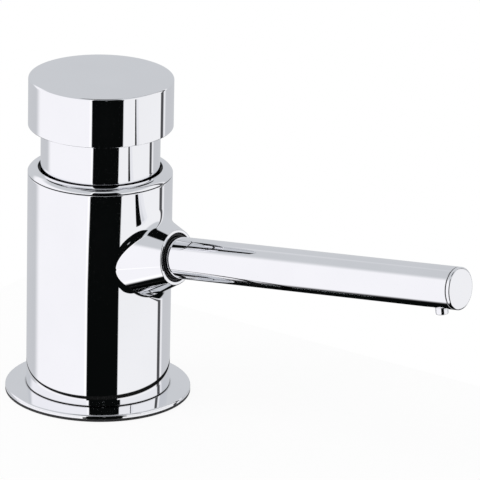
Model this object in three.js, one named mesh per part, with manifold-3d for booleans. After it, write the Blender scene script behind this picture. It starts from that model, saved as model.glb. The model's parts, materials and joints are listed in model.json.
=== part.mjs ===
// Built-in soap dispenser, in millimetres. +Z is up and +X is where the spout points.
// The origin is the centre of the gasket's underside, on the worktop.
// Above it stand the body, the spout and the press cap. The pump sits in the body.
// Below it hang the threaded shank, its washers and nut, and the soap bottle.

import * as THREE from 'three';
import { mergeVertices } from 'three/addons/utils/BufferGeometryUtils.js';
import Module from 'manifold-3d';

const wasm = await Module();
wasm.setup();

// Clearances shared by all pieces
const fitGap = 0.3;          // between two pieces that sit in or on each other
const seatGap = 0.05;        // between a ball or round ring and its seat
const runGap = 1.5;          // between moving pieces that must never meet
const cutOverrun = 2;        // how far a cutting tool runs past what it cuts

// Facets
const roundSides = 36;
const smallSides = 20;
const threadSides = 24;
const cornerSteps = 3;
const sectionSides = 6;
const filletSteps = 6;

// Flange and gasket on the worktop
const gasketThickness = 0.8;
const flangeRim = 6.1;
const flangeEdgeHeight = 1.1;
const flangeCrown = 0.4;
const flangeEdgeRound = 0.6;

// Body
const bodyRadius = 21;
const bodyWall = 1.6;
const bodyHeight = 64.65;

// Guide ring on the body
const seamGap = 0.25;
const ringEdgeHeight = 0.15;
const ringRise = 1.4;
const ringWidth = 3.4;
const ringRimWidth = 1.1;
const ringSpigotLength = 4.5;
const ringCrownShares = [[0.2, 0.46], [0.5, 0.82]];
const ringReliefWidth = 0.45;
const ringReliefDepth = 2.5;

// Press cap and its sleeve
const capSideHeight = 14.7;
const capTopThickness = 2.5;
const capEdgeRound = 0.6;
const capStopGap = 4.1;
const sleeveWall = 1.5;
const sleeveInBody = 5.2;
const pressStroke = 8.5;

// Insert that joins the cap to the pump rod
const insertDiscThickness = 6;
const insertHubRadius = 4.6;
const insertHubLength = 11;
const insertRodFloor = 1.7;

// Pump rod, piston and cylinder
const rodRadius = 2.4;
const barrelBoreRadius = 8;
const barrelFloor = 2;
const barrelCapRim = 3;
const barrelCapFlangeHeight = 2.4;
const barrelCapSpigot = 6.2;
const pistonHeight = 7;
const pistonGroove = 2.4;
const pistonLandHeight = 2;
const rodSealRadius = 0.8;

// Return spring
const springWireRadius = 0.5;
const springRadius = 6.6;
const springCoils = 6;
const springStepsPerCoil = 8;
const springSides = 5;

// Valves
const suctionBallRadius = 2.4;
const dischargeBallRadius = 2.3;
const seatHoleRadius = 1.4;
const ballLift = 1.2;
const ballSideGap = 0.6;
const outletWall = 1.3;
const channelRadius = 1.2;
const valveBlockHeight = 13.7;
const nippleRadius = 4.6;
const nippleLength = 7;
const nippleFloor = 2.5;

// Boss on the body and the spout, placed by the distance along the spout's axis
const spoutBelowBodyTop = 23.55;
const spoutTilt = 7.5;
const bossWall = 1.95;
const bossReach = 7.2;
const bossLip = 0.4;
const bossFilletShare = 0.56;
const bossFlankInset = 1.6;
const spoutRadius = 6.05;
const spoutWall = 1;
const spoutShownLength = 97.9;
const spoutSocketFloor = 0.6;
const sealGroove = 1.1;
const sealRingDepth = 1.6;
const sealRecess = 0.4;
const oRingRadius = 0.45;
const oRingBehindFace = 4.6;
const plugDiscThickness = 1.2;
const plugEdgeRound = 0.6;
const plugSpigotLength = 13.4;
const nozzleFromEnd = 7.1;
const nozzleRadius = 1.85;
const nozzleWall = 0.85;
const nozzleReach = 1.85;
const nozzleGrip = 3;
const plugSocketWall = 1.45;
const deliveryWall = 1.3;
const deliveryGrip = 3.4;
const deliveryInPlug = 3.4;

// Under the worktop
const shankRadius = 15;
const shankWall = 3;
const shankLength = 58;
const threadPitch = 3;
const threadDepth = 0.8;
const threadRunout = 3;
const deckThickness = 20;
const clampTravel = 10;
const washerWidth = 9;
const rubberWasherThickness = 2.5;
const metalWasherThickness = 1.5;
const nutWall = 4.5;
const nutHeight = 8;
const nutLugs = 4;
const nutLugReach = 4.6;
const nutLugWidth = 9;

// Bottle and dip tube
const bottleRadius = 34;
const bottleWall = 1.6;
const bottleHeight = 104;
const bottleNeckBelowLedge = 0.5;
const bottleNeckWall = 2;
const bottleShoulderHeight = 13;
const shoulderCornerShares = [0.2, 0.33];
const bottleFootRound = 5;
const bottleSealThickness = 1.2;
const bottleLedgeWidth = 2.6;
const dipTubeRadius = 3;
const dipTubeWall = 1.1;
const dipTubeAboveFloor = 4;

// Heights above the worktop that follow from the sizes
const flangeEdgeTop = gasketThickness + flangeEdgeHeight;
const bodyFoot = flangeEdgeTop + flangeCrown;
const bodyTop = bodyFoot + bodyHeight;
const ringFoot = bodyTop + seamGap;
const ringTop = ringFoot + ringEdgeHeight + ringRise;
const capFoot = ringTop + pressStroke + capStopGap;
const capTop = capFoot + capSideHeight;
const insertTop = capTop - capTopThickness - fitGap;
const insertDiscFoot = insertTop - insertDiscThickness;
const insertHubFoot = insertDiscFoot - insertHubLength;
const rodTop = insertTop - insertRodFloor - fitGap;
const sleeveFoot = ringTop - sleeveInBody;
const barrelTop = sleeveFoot - pressStroke - runGap;
const barrelCapFoot = barrelTop + fitGap;
const barrelCapTop = barrelCapFoot + barrelCapFlangeHeight;
const barrelCapSpigotFoot = barrelCapFoot - barrelCapSpigot;
const pistonTop = barrelCapSpigotFoot - fitGap;
const pistonFoot = pistonTop - pistonHeight;
const barrelFloorTop = pistonFoot - pressStroke - runGap;
const barrelFoot = barrelFloorTop - barrelFloor;
const blockTop = barrelFoot - fitGap;
const blockFoot = blockTop - valveBlockHeight;
const collarTop = blockFoot - fitGap;
const shankTop = collarTop - fitGap;
const shankFoot = -shankLength;
const rubberWasherTop = -deckThickness;
const rubberWasherFoot = rubberWasherTop - rubberWasherThickness;
const metalWasherFoot = rubberWasherFoot - metalWasherThickness;
const nutFoot = metalWasherFoot - nutHeight;
const bottleTop = nutFoot - clampTravel - fitGap;
const bottleFloor = bottleTop - bottleHeight;
const bottleSealFoot = shankFoot - fitGap - bottleSealThickness;
const bottleLedgeTop = bottleSealFoot - fitGap;
const bottleNeckFoot = bottleLedgeTop - bottleNeckBelowLedge;
const spoutAxisHeight = bodyTop - spoutBelowBodyTop;

// Radii and distances from the axis that follow from the sizes
const flangeRadius = bodyRadius + flangeRim;
const shellBore = bodyRadius - bodyWall;
const blockRadius = shellBore - fitGap;
const ringBore = bodyRadius - ringWidth;
const sleeveRadius = ringBore - fitGap;
const sleeveBore = sleeveRadius - sleeveWall;
const pistonCoreRadius = barrelBoreRadius - pistonGroove;
const pistonSealRadius = pistonGroove / 2 - fitGap;
const chamberRadius = dischargeBallRadius + ballSideGap;
const outletOffset = barrelBoreRadius + outletWall + chamberRadius;
const shankBore = shankRadius - shankWall;
const collarBore = shankRadius + fitGap;
const washerRadius = shankRadius + washerWidth;
const nutHubRadius = shankRadius + nutWall;

// Places along the spout's axis, counted from the body's axis
const tilt = THREE.MathUtils.degToRad(spoutTilt);
const bossRadius = spoutRadius + bossWall;
const bossFaceDistance = bodyRadius + bossReach;
const bossFillet = bossFilletShare * bossReach;
const spoutBoreRadius = spoutRadius - spoutWall;
const socketRadius = spoutRadius + fitGap;
const socketFloor = (shellBore + socketRadius * Math.sin(tilt)) / Math.cos(tilt) + spoutSocketFloor;
const spoutStart = socketFloor + fitGap;
const spoutEnd = bossFaceDistance + spoutShownLength;
const plugDiscFoot = spoutEnd - plugDiscThickness;
const plugStart = plugDiscFoot - plugSpigotLength;
const plugSpigotRadius = spoutBoreRadius - fitGap;
const nozzleDistance = spoutEnd - nozzleFromEnd;
const nozzleBore = nozzleRadius - nozzleWall;
const deliverySocketRadius = plugSpigotRadius - plugSocketWall;
const deliveryRadius = deliverySocketRadius - fitGap;
const outletDistance = outletOffset / Math.cos(tilt);
const deliveryStart = blockRadius / Math.cos(tilt) - deliveryGrip;
const deliveryEnd = plugStart + deliveryInPlug;
const oRingDistance = bossFaceDistance - oRingBehindFace;
const oRingCentreRadius = spoutRadius + oRingRadius + seatGap;
const oRingSpace = oRingRadius + seatGap;

// Valve seats, and the heights of the balls' centres when they rest on them
const suctionRise = Math.sqrt(suctionBallRadius ** 2 - seatHoleRadius ** 2) + seatGap;
const dischargeRise = Math.sqrt(dischargeBallRadius ** 2 - seatHoleRadius ** 2) + seatGap;
const suctionRest = blockTop + fitGap - ballLift - suctionBallRadius;
const suctionSeat = suctionRest - suctionRise;
const dischargeRest = blockTop + dischargeRise;
const dischargeStop = dischargeRest + ballLift + dischargeRise + fitGap;

// Geometry helpers

const weldShare = 1e-6;

// Merges shared vertices, drops the triangles that this flattens and turns all faces outwards.
function solid(geometry) {
  geometry.deleteAttribute('normal');
  geometry.deleteAttribute('uv');
  geometry.computeBoundingSphere();
  const merged = mergeVertices(geometry, geometry.boundingSphere.radius * weldShare);
  const place = merged.attributes.position;
  const index = merged.index.array;
  const kept = [];
  const corner = [new THREE.Vector3(), new THREE.Vector3(), new THREE.Vector3()];
  let volume = 0;
  for (let i = 0; i < index.length; i += 3) {
    const [a, b, c] = [index[i], index[i + 1], index[i + 2]];
    if (a === b || b === c || c === a) continue;
    corner.forEach((point, k) => point.fromBufferAttribute(place, index[i + k]));
    volume += corner[0].dot(corner[1].clone().cross(corner[2]));
    kept.push(a, b, c);
  }
  merged.setIndex(volume < 0 ? kept.reverse() : kept);
  return merged;
}

// A body of revolution about Z. The profile is a list of [radius, height] points.
function turned(profile, sides = roundSides) {
  const points = profile.map(([radius, height]) => new THREE.Vector2(radius, height));
  return solid(new THREE.LatheGeometry(points, sides).rotateX(Math.PI / 2));
}

// A turned ring or tube: the profile closes on itself.
function turnedRing(profile, sides = roundSides) {
  return turned([...profile, profile[0]], sides);
}

function cylinder(radius, foot, top, sides = smallSides) {
  return turned([[0, foot], [radius, foot], [radius, top], [0, top]], sides);
}

function tube(radius, bore, foot, top, sides = roundSides) {
  return turnedRing([[bore, foot], [radius, foot], [radius, top], [bore, top]], sides);
}

// Points of a quarter-round corner, from angle start to angle end in degrees about its centre.
function roundCorner(centreRadius, centreHeight, radius, start, end) {
  const points = [];
  for (let i = 0; i <= cornerSteps; i += 1) {
    const angle = THREE.MathUtils.degToRad(start + ((end - start) * i) / cornerSteps);
    points.push([centreRadius + radius * Math.cos(angle), centreHeight + radius * Math.sin(angle)]);
  }
  return points;
}

// A ring of round section about Z.
function roundRing(ringRadius, sectionRadius, height, sides = roundSides) {
  const points = [];
  for (let i = 0; i < sectionSides; i += 1) {
    const angle = (2 * Math.PI * i) / sectionSides;
    const radius = ringRadius + sectionRadius * Math.cos(angle);
    points.push([radius, height + sectionRadius * Math.sin(angle)]);
  }
  return turnedRing(points, sides);
}

// Joins rows of equally many points into a skin, closed round each row and at both ends.
function skin(rows) {
  const sides = rows[0].length;
  const points = rows.flat();
  const index = [];
  for (let row = 0; row + 1 < rows.length; row += 1) {
    for (let side = 0; side < sides; side += 1) {
      const next = (side + 1) % sides;
      const [a, b] = [row * sides + side, row * sides + next];
      index.push(a, b, b + sides, a, b + sides, a + sides);
    }
  }
  for (const [row, turn] of [[rows[0], 1], [rows[rows.length - 1], -1]]) {
    const centre = new THREE.Vector3();
    row.forEach((point) => centre.addScaledVector(point, 1 / sides));
    const first = row === rows[0] ? 0 : (rows.length - 1) * sides;
    points.push(centre);
    for (let side = 0; side < sides; side += 1) {
      const pair = [first + side, first + ((side + 1) % sides)];
      index.push(points.length - 1, ...(turn > 0 ? pair.reverse() : pair));
    }
  }
  const geometry = new THREE.BufferGeometry().setFromPoints(points);
  return solid(geometry.setIndex(index));
}

function manifoldOf(geometry) {
  const vertProperties = new Float32Array(geometry.attributes.position.array);
  const triVerts = new Uint32Array(geometry.index.array);
  return new wasm.Manifold(new wasm.Mesh({ numProp: 3, vertProperties, triVerts }));
}

function geometryOf(manifold) {
  const mesh = manifold.getMesh();
  const geometry = new THREE.BufferGeometry();
  geometry.setAttribute('position', new THREE.BufferAttribute(mesh.vertProperties, 3));
  geometry.setIndex(new THREE.BufferAttribute(mesh.triVerts, 1));
  return geometry;
}

function cut(geometry, ...tools) {
  const result = tools.reduce((left, tool) => left.subtract(manifoldOf(tool)), manifoldOf(geometry));
  return geometryOf(result);
}

function join(geometry, ...others) {
  const result = others.reduce((sum, other) => sum.add(manifoldOf(other)), manifoldOf(geometry));
  return geometryOf(result);
}

// The spout's frame: its Z runs along the spout from the body's axis, and its X points down.
const spoutFrame = new THREE.Group();
spoutFrame.position.set(0, 0, spoutAxisHeight);
spoutFrame.rotation.y = Math.PI / 2 - tilt;
spoutFrame.updateMatrixWorld();

function inSpoutFrame(geometry) {
  return geometry.applyMatrix4(spoutFrame.matrixWorld);
}

function spoutAxisAt(x) {
  return spoutAxisHeight + x * Math.tan(tilt);
}

// Materials

function material(colour, roughness, metalness) {
  return new THREE.MeshStandardMaterial({ color: colour, roughness, metalness });
}

const chrome = material(0xdfe2e6, 0.06, 1);
const steel = material(0xb9bcc0, 0.25, 1);
const blackRubber = material(0x101010, 0.75, 0);
const whitePlastic = material(0xe9e9e6, 0.4, 0);
const greyPlastic = material(0x8d9094, 0.45, 0);
const blackPlastic = material(0x1c1d1f, 0.5, 0);
const bottlePlastic = material(0xe6ecee, 0.3, 0);

// Foot on the worktop

function flangeGasket() {
  return tube(flangeRadius, collarBore, 0, gasketThickness);
}

function baseFlange() {
  const bore = collarBore;
  const roundCentre = [flangeRadius - flangeEdgeRound, flangeEdgeTop - flangeEdgeRound];
  return turnedRing([
    [bore, gasketThickness],
    [flangeRadius, gasketThickness],
    ...roundCorner(...roundCentre, flangeEdgeRound, 0, 90),
    [bodyRadius, bodyFoot],
    [bore, bodyFoot],
  ]);
}

// Body with the spout's boss

// The boss is a cone whose flanks pass a little inside the body's widest lines.
function bossFlare() {
  const reach = Math.hypot(bossFaceDistance, bossRadius);
  return Math.asin((bodyRadius - bossFlankInset) / reach) - Math.atan2(bossRadius, bossFaceDistance);
}

// One row of the boss: all its points lie at one angle step round the spout's axis.
// The concave fillet is the path of a ball that rolls along the cone and the body.
function bossRows(sides) {
  const axis = new THREE.Vector3(Math.cos(tilt), 0, Math.sin(tilt));
  const up = new THREE.Vector3(-Math.sin(tilt), 0, Math.cos(tilt));
  const origin = new THREE.Vector3(0, 0, spoutAxisHeight);
  const flare = bossFlare();
  const slope = Math.tan(flare);
  const apexRadius = bossRadius + bossFaceDistance * slope;
  const ballReach = apexRadius + bossFillet / Math.cos(flare);
  const columns = [];
  for (let side = 0; side < sides; side += 1) {
    const turn = (2 * Math.PI * side) / sides;
    const out = up.clone().multiplyScalar(Math.cos(turn));
    out.y -= Math.sin(turn);
    const onBoss = (radius, distance) =>
      origin.clone().addScaledVector(axis, distance).addScaledVector(out, radius);
    const along = axis.x - out.x * slope;
    const across = out.y * slope;
    const squares = along ** 2 + across ** 2;
    const middle = (ballReach * (along * out.x - across * out.y)) / squares;
    const rest = (ballReach ** 2 * (out.x ** 2 + out.y ** 2) - (bodyRadius + bossFillet) ** 2) / squares;
    const distance = Math.sqrt(middle ** 2 - rest) - middle;
    const ball = onBoss(ballReach - distance * slope, distance);
    const toBoss = out.clone().multiplyScalar(-Math.cos(flare)).addScaledVector(axis, -Math.sin(flare));
    const toBody = new THREE.Vector3(-ball.x, -ball.y, 0).normalize();
    const opening = toBoss.angleTo(toBody);
    const column = [
      onBoss(bossRadius - bossLip, bossFaceDistance),
      onBoss(bossRadius + bossLip * slope, bossFaceDistance - bossLip),
    ];
    for (let i = 0; i <= filletSteps; i += 1) {
      const share = i / filletSteps;
      const direction = toBoss.clone().multiplyScalar(Math.sin((1 - share) * opening))
        .addScaledVector(toBody, Math.sin(share * opening))
        .divideScalar(Math.sin(opening));
      column.push(ball.clone().addScaledVector(direction, bossFillet));
    }
    column.push(ball.clone().addScaledVector(toBody, bossFillet + bodyWall / 2));
    columns.push(column);
  }
  return columns[0].map((_, row) => columns.map((column) => column[row]));
}

function bodyShell() {
  const wall = turnedRing([
    [collarBore, bodyFoot],
    [bodyRadius, bodyFoot],
    [bodyRadius, bodyTop],
    [shellBore, bodyTop],
    [shellBore, collarTop],
    [collarBore, collarTop],
  ]);
  const faceOverrun = bossFaceDistance + cutOverrun;
  const sealFoot = bossFaceDistance - sealRingDepth - sealRecess;
  const socket = cylinder(socketRadius, socketFloor, faceOverrun, roundSides);
  const sealSeat = cylinder(spoutRadius + sealGroove, sealFoot, faceOverrun, roundSides);
  const oRingGroove = cylinder(
    oRingCentreRadius + oRingSpace, oRingDistance - oRingSpace, oRingDistance + oRingSpace, roundSides);
  const lineHole = cylinder(deliverySocketRadius, outletDistance, spoutStart);
  const spoutCuts = [socket, sealSeat, oRingGroove, lineHole].map(inSpoutFrame);
  const bore = cylinder(shellBore, collarTop, bodyTop + cutOverrun, roundSides);
  return cut(join(wall, skin(bossRows(roundSides))), bore, ...spoutCuts);
}

function guideRing() {
  const spigotRadius = shellBore - fitGap;
  const spigotFoot = bodyTop - ringSpigotLength;
  const edgeTop = ringFoot + ringEdgeHeight;
  const crownWidth = ringWidth - ringRimWidth;
  const crown = ringCrownShares.map(([inward, upward]) =>
    [bodyRadius - inward * crownWidth, edgeTop + upward * ringRise]);
  return turnedRing([
    [ringBore, spigotFoot],
    [spigotRadius, spigotFoot],
    [spigotRadius, ringFoot],
    [bodyRadius, ringFoot],
    [bodyRadius, edgeTop],
    ...crown,
    [ringBore + ringRimWidth, ringTop],
    [ringBore + ringReliefWidth, ringTop],
    [ringBore + ringReliefWidth, ringTop - ringReliefDepth],
    [ringBore, ringTop - ringReliefDepth],
  ]);
}

// Plunger: everything that goes down with the cap

function pressCap() {
  const bore = sleeveRadius + fitGap;
  const roof = capTop - capTopThickness;
  return turned([
    [0, roof],
    [bore, roof],
    [bore, capFoot],
    [bodyRadius, capFoot],
    ...roundCorner(bodyRadius - capEdgeRound, capTop - capEdgeRound, capEdgeRound, 0, 90),
    [0, capTop],
  ]);
}

function capSleeve() {
  return tube(sleeveRadius, sleeveBore, sleeveFoot, insertTop);
}

function capInsert() {
  const rodBore = rodRadius + fitGap;
  return turned([
    [0, rodTop + fitGap],
    [rodBore, rodTop + fitGap],
    [rodBore, insertHubFoot],
    [insertHubRadius, insertHubFoot],
    [insertHubRadius, insertDiscFoot],
    [sleeveBore - fitGap, insertDiscFoot],
    [sleeveBore - fitGap, insertTop],
    [0, insertTop],
  ]);
}

function pumpRod() {
  return cylinder(rodRadius, pistonFoot + pistonLandHeight, rodTop);
}

function piston() {
  const land = barrelBoreRadius - fitGap;
  const rodBore = rodRadius + fitGap;
  const grooveFoot = pistonFoot + pistonLandHeight;
  const grooveTop = pistonTop - pistonLandHeight;
  return turned([
    [0, pistonFoot],
    [land, pistonFoot],
    [land, grooveFoot],
    [pistonCoreRadius, grooveFoot],
    [pistonCoreRadius, grooveTop],
    [land, grooveTop],
    [land, pistonTop],
    [rodBore, pistonTop],
    [rodBore, grooveFoot - fitGap],
    [0, grooveFoot - fitGap],
  ], smallSides);
}

function pistonSeal() {
  const middle = (pistonFoot + pistonTop) / 2;
  return roundRing(pistonCoreRadius + pistonGroove / 2, pistonSealRadius, middle, smallSides);
}

// A coil spring between the barrel cap and the insert, as one unbroken tube along a helix.
function returnSpring() {
  const foot = barrelCapTop + fitGap + springWireRadius;
  const top = insertDiscFoot - fitGap - springWireRadius;
  const steps = springCoils * springStepsPerCoil;
  const centres = [];
  for (let i = 0; i <= steps; i += 1) {
    const angle = (2 * Math.PI * i) / springStepsPerCoil;
    const height = foot + ((top - foot) * i) / steps;
    centres.push(new THREE.Vector3(
      springRadius * Math.cos(angle), springRadius * Math.sin(angle), height));
  }
  const rows = centres.map((centre) => {
    const outward = new THREE.Vector3(centre.x, centre.y, 0).normalize();
    const upward = new THREE.Vector3(0, 0, 1);
    const row = [];
    for (let side = 0; side < springSides; side += 1) {
      const angle = (2 * Math.PI * side) / springSides;
      row.push(centre.clone()
        .addScaledVector(outward, springWireRadius * Math.cos(angle))
        .addScaledVector(upward, springWireRadius * Math.sin(angle)));
    }
    return row;
  });
  printLeastGap(centres);
  return skin(rows);
}

// Prints the least gap between two coils, measured between points at least half a coil apart.
function printLeastGap(centres) {
  let least = Infinity;
  for (let i = 0; i < centres.length; i += 1) {
    for (let j = i + springStepsPerCoil / 2; j < centres.length; j += 1) {
      least = Math.min(least, centres[i].distanceTo(centres[j]) - 2 * springWireRadius);
    }
  }
  console.log(`return_spring: least gap to itself ${least.toFixed(2)} mm`);
}

// Pump in the body

function barrelCap() {
  const spigotRadius = barrelBoreRadius - fitGap;
  const rodBore = rodRadius + fitGap;
  const sealRadius = rodBore + 2 * rodSealRadius + fitGap;
  const rimRadius = barrelBoreRadius + barrelCapRim;
  return turnedRing([
    [rodBore, barrelCapSpigotFoot],
    [spigotRadius, barrelCapSpigotFoot],
    [spigotRadius, barrelCapFoot],
    [rimRadius, barrelCapFoot],
    [rimRadius, barrelCapTop],
    [sealRadius, barrelCapTop],
    [sealRadius, barrelCapFoot],
    [rodBore, barrelCapFoot],
  ], smallSides);
}

function rodSeal() {
  const height = barrelCapFoot + fitGap + rodSealRadius;
  return roundRing(rodRadius + fitGap + rodSealRadius, rodSealRadius, height, smallSides);
}

function pumpBarrel() {
  const lineHeight = spoutAxisAt(outletOffset);
  const shaped = turned([
    [0, barrelFoot],
    [blockRadius, barrelFoot],
    [blockRadius, barrelTop],
    [barrelBoreRadius, barrelTop],
    [barrelBoreRadius, barrelFloorTop],
    [0, barrelFloorTop],
  ]);
  const floorHole = cylinder(seatHoleRadius, barrelFoot - cutOverrun, barrelFloorTop + cutOverrun);
  const chamber = cylinder(chamberRadius, barrelFoot - cutOverrun, dischargeStop);
  const riser = cylinder(seatHoleRadius, dischargeStop - cutOverrun, lineHeight);
  chamber.translate(outletOffset, 0, 0);
  riser.translate(outletOffset, 0, 0);
  const passage = inSpoutFrame(cylinder(seatHoleRadius, outletDistance - seatHoleRadius, spoutStart));
  const socket = inSpoutFrame(cylinder(deliverySocketRadius, deliveryStart - fitGap, spoutStart));
  return cut(shaped, floorHole, chamber, riser, passage, socket);
}

function valveBlock() {
  const nippleFoot = blockFoot - nippleLength;
  const shaped = turned([
    [0, nippleFoot],
    [nippleRadius, nippleFoot],
    [nippleRadius, blockFoot],
    [blockRadius, blockFoot],
    [blockRadius, blockTop],
    [0, blockTop],
  ]);
  const tubeSocket = cylinder(
    dipTubeRadius + fitGap, nippleFoot - cutOverrun, blockFoot - nippleFloor);
  const inlet = cylinder(seatHoleRadius, nippleFoot, suctionSeat + cutOverrun);
  const chamber = cylinder(suctionBallRadius + ballSideGap, suctionSeat, blockTop + cutOverrun);
  const channelHeight = (suctionSeat + blockTop) / 2;
  const channel = cylinder(channelRadius, 0, outletOffset + channelRadius / 2);
  channel.rotateY(Math.PI / 2).translate(0, 0, channelHeight);
  const outlet = cylinder(seatHoleRadius, channelHeight, blockTop + cutOverrun);
  outlet.translate(outletOffset, 0, 0);
  return cut(shaped, tubeSocket, inlet, chamber, channel, outlet);
}

function ball(radius) {
  return solid(new THREE.IcosahedronGeometry(radius, 2));
}

// Spout, in the spout's frame

function spoutTube() {
  const pipe = tube(spoutRadius, spoutBoreRadius, spoutStart, plugDiscFoot - seamGap);
  const hole = cylinder(nozzleRadius + fitGap, 0, spoutRadius + cutOverrun);
  hole.rotateY(Math.PI / 2).translate(0, 0, nozzleDistance);
  return cut(pipe, hole);
}

function spoutSealRing() {
  const top = bossFaceDistance - sealRecess;
  const outer = spoutRadius + sealGroove - fitGap / 2;
  return tube(outer, spoutRadius + fitGap / 2, top - sealRingDepth + fitGap, top);
}

function spoutORing() {
  return roundRing(oRingCentreRadius, oRingRadius, oRingDistance);
}

function spoutEndPlug() {
  const roundCentre = [spoutRadius - plugEdgeRound, spoutEnd - plugEdgeRound];
  const shaped = turned([
    [0, plugStart],
    [plugSpigotRadius, plugStart],
    [plugSpigotRadius, plugDiscFoot],
    [spoutRadius, plugDiscFoot],
    ...roundCorner(...roundCentre, plugEdgeRound, 0, 90),
    [0, spoutEnd],
  ]);
  const lineSocket = cylinder(deliverySocketRadius, plugStart - cutOverrun, deliveryEnd + fitGap);
  const passage = cylinder(nozzleBore, plugStart, nozzleDistance + nozzleBore);
  const outlet = cylinder(nozzleRadius + fitGap, spoutBoreRadius - nozzleGrip, spoutRadius);
  const crossing = cylinder(nozzleBore, 0, spoutRadius);
  for (const tool of [outlet, crossing]) {
    tool.rotateY(Math.PI / 2).translate(0, 0, nozzleDistance);
  }
  return cut(shaped, lineSocket, passage, outlet, crossing);
}

function spoutNozzle() {
  const start = spoutBoreRadius - nozzleGrip + fitGap;
  const stub = tube(nozzleRadius, nozzleBore, start, spoutRadius + nozzleReach, smallSides);
  return stub.rotateY(Math.PI / 2).translate(0, 0, nozzleDistance);
}

function deliveryTube() {
  return tube(deliveryRadius, deliveryRadius - deliveryWall, deliveryStart, deliveryEnd, smallSides);
}

// Under the worktop

function threadedShank() {
  const core = shankRadius - threadDepth;
  const threadTop = -threadRunout;
  const ridges = Math.floor((threadTop - shankFoot) / threadPitch);
  const profile = [[shankBore, shankTop], [shankBore, shankFoot]];
  for (let ridge = 0; ridge < ridges; ridge += 1) {
    const foot = shankFoot + ridge * threadPitch;
    profile.push([core, foot], [shankRadius, foot + threadPitch / 2]);
  }
  profile.push([core, shankFoot + ridges * threadPitch], [core, threadTop + threadDepth]);
  profile.push([shankRadius, threadTop + 2 * threadDepth], [shankRadius, shankTop]);
  return turnedRing(profile, threadSides);
}

function rubberWasher() {
  return tube(washerRadius, collarBore, rubberWasherFoot, rubberWasherTop);
}

function metalWasher() {
  return tube(washerRadius, collarBore, metalWasherFoot, rubberWasherFoot);
}

function mountingNut() {
  const hub = cylinder(nutHubRadius, nutFoot, metalWasherFoot, roundSides);
  const reach = nutHubRadius + nutLugReach;
  const lugs = [];
  for (let i = 0; i < nutLugs; i += 1) {
    const lug = new THREE.BoxGeometry(reach, nutLugWidth, nutHeight);
    lug.translate(reach / 2, 0, nutFoot + nutHeight / 2);
    lugs.push(solid(lug.rotateZ((2 * Math.PI * i) / nutLugs)));
  }
  const bore = cylinder(collarBore, nutFoot - cutOverrun, metalWasherFoot + cutOverrun, roundSides);
  return cut(join(hub, ...lugs), bore);
}

function bottle() {
  const neckBore = shankRadius + fitGap;
  const neckRadius = neckBore + bottleNeckWall;
  const ledgeBore = neckBore - bottleLedgeWidth;
  const innerRadius = bottleRadius - bottleWall;
  const shoulderFoot = bottleNeckFoot - bottleShoulderHeight;
  const [inward, downward] = shoulderCornerShares;
  const cornerRadius = bottleRadius - inward * (bottleRadius - neckRadius);
  const cornerHeight = bottleNeckFoot - downward * bottleShoulderHeight;
  const footCentre = [bottleRadius - bottleFootRound, bottleFloor + bottleFootRound];
  return turned([
    [0, bottleFloor],
    ...roundCorner(...footCentre, bottleFootRound, -90, 0),
    [bottleRadius, shoulderFoot],
    [cornerRadius, cornerHeight],
    [neckRadius, bottleNeckFoot],
    [neckRadius, bottleTop],
    [neckBore, bottleTop],
    [neckBore, bottleLedgeTop],
    [ledgeBore, bottleLedgeTop],
    [ledgeBore, bottleLedgeTop - bottleNeckWall],
    [neckBore, bottleNeckFoot - bottleNeckWall - bottleWall],
    [cornerRadius - bottleWall, cornerHeight - bottleWall],
    [innerRadius, shoulderFoot - bottleWall],
    ...roundCorner(...footCentre, bottleFootRound - bottleWall, 0, -90),
    [0, bottleFloor + bottleWall],
  ]);
}

function bottleSeal() {
  const top = bottleSealFoot + bottleSealThickness;
  return tube(shankRadius, shankBore + fitGap, bottleSealFoot, top, threadSides);
}

function dipTube() {
  const foot = bottleFloor + bottleWall + dipTubeAboveFloor;
  const top = blockFoot - nippleFloor - fitGap;
  return tube(dipTubeRadius, dipTubeRadius - dipTubeWall, foot, top, smallSides);
}

// Assembly

const dispenser = new THREE.Group();

function add(name, geometry, finish, parent = dispenser) {
  const mesh = new THREE.Mesh(geometry, finish);
  mesh.name = name;
  parent.add(mesh);
  return mesh;
}

add('flange_gasket', flangeGasket(), blackRubber);
add('base_flange', baseFlange(), chrome);
add('body_shell', bodyShell(), chrome);
add('guide_ring', guideRing(), chrome);

add('press_cap', pressCap(), chrome);
add('cap_sleeve', capSleeve(), chrome);
add('cap_insert', capInsert(), whitePlastic);
add('pump_rod', pumpRod(), steel);
add('piston', piston(), greyPlastic);
add('piston_seal', pistonSeal(), blackRubber);
add('return_spring', returnSpring(), steel);

add('pump_barrel', pumpBarrel(), whitePlastic);
add('valve_block', valveBlock(), whitePlastic);
add('barrel_cap', barrelCap(), greyPlastic);
add('rod_seal', rodSeal(), blackRubber);
add('suction_ball', ball(suctionBallRadius), steel).position.set(0, 0, suctionRest);
add('discharge_ball', ball(dischargeBallRadius), steel).position.set(outletOffset, 0, dischargeRest);

add('spout_tube', spoutTube(), chrome, spoutFrame);
add('spout_seal_ring', spoutSealRing(), blackRubber, spoutFrame);
add('spout_o_ring', spoutORing(), blackRubber, spoutFrame);
add('spout_end_plug', spoutEndPlug(), chrome, spoutFrame);
add('spout_nozzle', spoutNozzle(), chrome, spoutFrame);
add('delivery_tube', deliveryTube(), whitePlastic, spoutFrame);
dispenser.add(spoutFrame);

add('threaded_shank', threadedShank(), blackPlastic);
add('rubber_washer', rubberWasher(), blackRubber);
add('metal_washer', metalWasher(), steel);
add('mounting_nut', mountingNut(), blackPlastic);
add('bottle', bottle(), bottlePlastic);
add('bottle_seal', bottleSeal(), blackRubber);
add('dip_tube', dipTube(), whitePlastic);

export default dispenser;
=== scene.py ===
"""Looks of the built-in soap dispenser: camera, finishes and finely turned pieces.

All shapes below are written in millimetres and scaled to metres when a mesh is made.
+Z is up and +X is where the spout points; height zero is the gasket's underside on the worktop.
"""
import json
import math

import bpy
from mathutils import Matrix, Vector


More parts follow.
